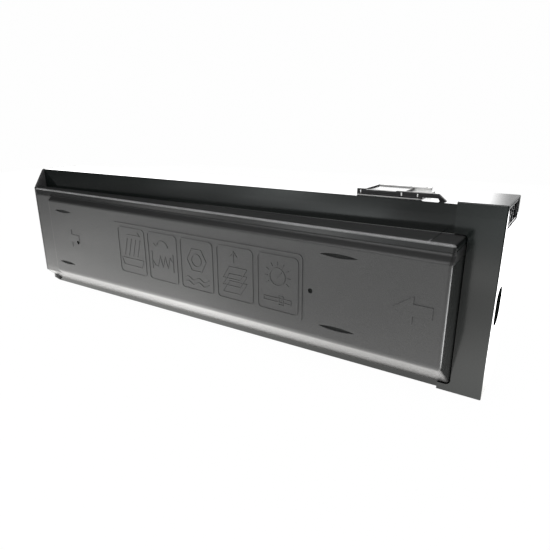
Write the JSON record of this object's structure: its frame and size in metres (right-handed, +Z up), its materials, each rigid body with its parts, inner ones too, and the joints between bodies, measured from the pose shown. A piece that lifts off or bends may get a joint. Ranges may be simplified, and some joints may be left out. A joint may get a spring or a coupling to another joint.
{
  "type": "toner cartridge",
  "caption": "Long flat toner cartridge with a stepped raised face, a grip cap at one end, a stirring frame, a feed screw and a sliding port shutter.",
  "frame": {"origin": "middle of the bounding box at the base, as the cartridge stands on its long narrow edge", "axes": "+X from the rear (drive) end to the grip cap, +Y from the raised face to the flat back, +Z up to the port edge"},
  "size_m": [0.48, 0.0871, 0.137],
  "materials": {
    "raised_face": "fine grained black plastic",
    "body_black": "polished black plastic",
    "cap_black": "polished black plastic",
    "cover_black": "satin black plastic",
    "screw_steel": "zinc plated",
    "inner_plastic": "natural plastic",
    "film": "clear sheet",
    "gear_plastic": "natural acetal",
    "pin_steel": "turned steel",
    "coupling_plastic": "black acetal",
    "bush_plastic": "dark acetal",
    "seal_felt": "grey felt",
    "plug_plastic": "grey soft plastic",
    "guide_black": "black plastic",
    "gasket_foam": "dark foam",
    "shutter_black": "black plastic",
    "guide_natural": "natural plastic"
  },
  "bodies": {
    "housing": {"front_shell": "raised_face", "rear_shell": "body_black", "front_cap": "cap_black", "rear_cover": "cover_black", "rear_cover_screws": "screw_steel", "idler_pin": "pin_steel", "idler_clip": "pin_steel", "agitator_rear_bush": "bush_plastic", "agitator_front_bush": "bush_plastic", "auger_rear_bush": "bush_plastic", "auger_front_bush": "bush_plastic", "agitator_seal": "seal_felt", "auger_seal": "seal_felt", "fill_plug": "plug_plastic", "guide_plate": "guide_natural", "shutter_guide": "guide_black", "port_gasket": "gasket_foam"},
    "agitator": {"agitator_frame": "inner_plastic", "agitator_film": "film", "agitator_gear": "gear_plastic", "drive_coupling": "coupling_plastic"},
    "idler": {"idler_gear": "gear_plastic"},
    "auger": {"feed_auger": "inner_plastic", "auger_gear": "gear_plastic"},
    "shutter": {"shutter": "shutter_black"}
  },
  "joints": [
    {"name": "agitator_spin", "type": "hinge", "parent": "housing", "child": "agitator", "pos_m": [0, 0.01211, 0.05802], "axis": [1, 0, 0], "continuous": true},
    {"name": "idler_spin", "type": "hinge", "parent": "housing", "child": "idler", "pos_m": [-0.2275, 0.00591, 0.09211], "axis": [1, 0, 0], "continuous": true},
    {"name": "auger_spin", "type": "hinge", "parent": "housing", "child": "auger", "pos_m": [0, 0.01611, 0.114], "axis": [1, 0, 0], "continuous": true},
    {"name": "shutter_slide", "type": "slide", "parent": "housing", "child": "shutter", "axis": [1, 0, 0], "range_m": [0, 0.026]}
  ],
  "couplings": [
    {"joint": "idler_spin", "follows": "agitator_spin", "ratio": -1.5556},
    {"joint": "auger_spin", "follows": "agitator_spin", "ratio": 2}
  ]
}
